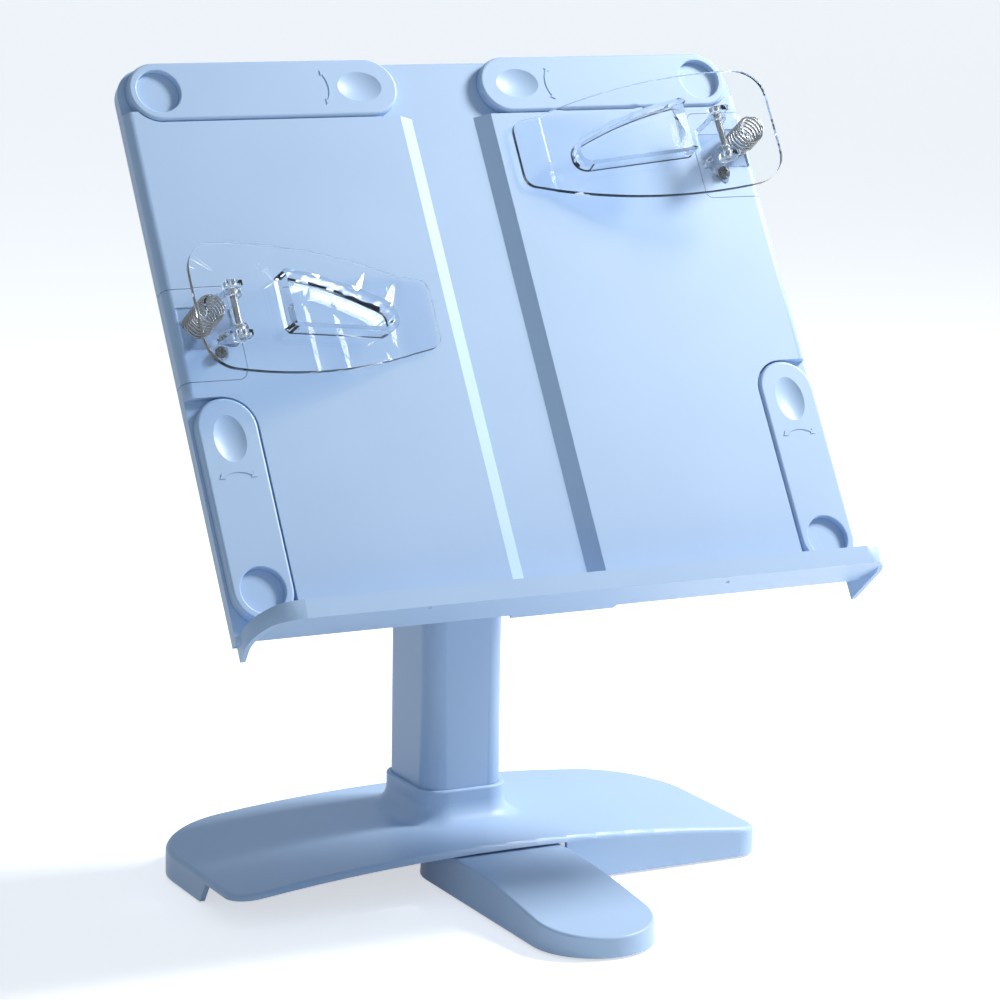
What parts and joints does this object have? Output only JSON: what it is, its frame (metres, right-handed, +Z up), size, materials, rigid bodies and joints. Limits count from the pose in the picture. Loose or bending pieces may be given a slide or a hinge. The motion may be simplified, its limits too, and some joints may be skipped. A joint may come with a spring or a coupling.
{
  "type": "document holder",
  "caption": "Desk reading stand: tilting page panel with swinging page stops and clear spring clips on a telescoping column, over a crowned base with a fold-out foot.",
  "frame": {"origin": "on the desk under the middle of the overall width and depth at rest", "axes": "+X to the reader's right, +Y away from the reader, +Z up"},
  "size_m": [0.3162, 0.227, 0.3795],
  "materials": {
    "blue_plastic": "satin moulded plastic",
    "clear_plastic": "clear polished plastic",
    "steel": "bright steel",
    "dark_screw": "blackened steel",
    "rubber": "matte rubber",
    "bush_plastic": "matte guide plastic"
  },
  "bodies": {
    "base": {"base_shell": "blue_plastic", "base_pads": "rubber", "outer_column": "blue_plastic", "column_screws": "dark_screw", "guide_bush": "bush_plastic", "foot_washer": "steel", "foot_pivot_screw": "dark_screw"},
    "foot": {"front_foot": "blue_plastic", "foot_pad": "rubber"},
    "lift": {"inner_column": "blue_plastic", "guide_shoe": "bush_plastic", "tilt_head": "blue_plastic"},
    "panel": {"panel_board": "blue_plastic", "hinge_bracket": "blue_plastic", "bracket_screws": "dark_screw", "tilt_shaft": "steel", "friction_washers": "bush_plastic", "shaft_caps": "blue_plastic", "arm_pivot_caps": "blue_plastic", "arm_screws": "dark_screw", "clip_slider_left": "blue_plastic", "clip_bracket_left": "clear_plastic", "clip_screw_left": "dark_screw", "clip_pin_left": "steel", "clip_spring_left": "steel", "clip_slider_right": "blue_plastic", "clip_bracket_right": "clear_plastic", "clip_screw_right": "dark_screw", "clip_pin_right": "steel", "clip_spring_right": "steel"},
    "top_arm_left": {"top_arm_left": "blue_plastic"},
    "top_arm_right": {"top_arm_right": "blue_plastic"},
    "side_arm_left": {"side_arm_left": "blue_plastic"},
    "side_arm_right": {"side_arm_right": "blue_plastic"},
    "clip_left": {"clip_lever_left": "clear_plastic"},
    "clip_right": {"clip_lever_right": "clear_plastic"}
  },
  "joints": [
    {"name": "foot_swivel", "type": "hinge", "parent": "base", "child": "foot", "pos_m": [0, 0.0225, 0.007], "axis": [0, 0, 1], "range_deg": [-90, 0]},
    {"name": "column_lift", "type": "slide", "parent": "base", "child": "lift", "axis": [0, 0, 1], "range_m": [-0.05, 0.044]},
    {"name": "panel_tilt", "type": "hinge", "parent": "lift", "child": "panel", "pos_m": [0, 0.0625, 0.2693], "axis": [1, 0, 0], "range_deg": [-40, 20]},
    {"name": "top_arm_left_swing", "type": "hinge", "parent": "panel", "child": "top_arm_left", "pos_m": [-0.14, 0.07904, 0.36679], "axis": [0, -0.8517, 0.524], "range_deg": [0, 90]},
    {"name": "top_arm_right_swing", "type": "hinge", "parent": "panel", "child": "top_arm_right", "pos_m": [0.14, 0.07904, 0.36679], "axis": [0, -0.8517, 0.524], "range_deg": [-90, 0]},
    {"name": "side_arm_left_swing", "type": "hinge", "parent": "panel", "child": "side_arm_left", "pos_m": [-0.1424, -0.04578, 0.16391], "axis": [0, -0.8517, 0.524], "range_deg": [0, 90]},
    {"name": "side_arm_right_swing", "type": "hinge", "parent": "panel", "child": "side_arm_right", "pos_m": [0.1424, -0.04578, 0.16391], "axis": [0, -0.8517, 0.524], "range_deg": [-90, 0]},
    {"name": "clip_press_left", "type": "hinge", "parent": "panel", "child": "clip_left", "pos_m": [-0.134, 0.00376, 0.27726], "axis": [0, 0.524, 0.8517], "range_deg": [-24, 0], "stiffness_Nm_per_rad": 0.4, "springref_deg": 28.65, "deforming": ["clip_spring_left"]},
    {"name": "clip_press_right", "type": "hinge", "parent": "panel", "child": "clip_right", "pos_m": [0.134, 0.04463, 0.34369], "axis": [0, 0.524, 0.8517], "range_deg": [0, 24], "stiffness_Nm_per_rad": 0.4, "springref_deg": -28.65, "deforming": ["clip_spring_right"]}
  ]
}
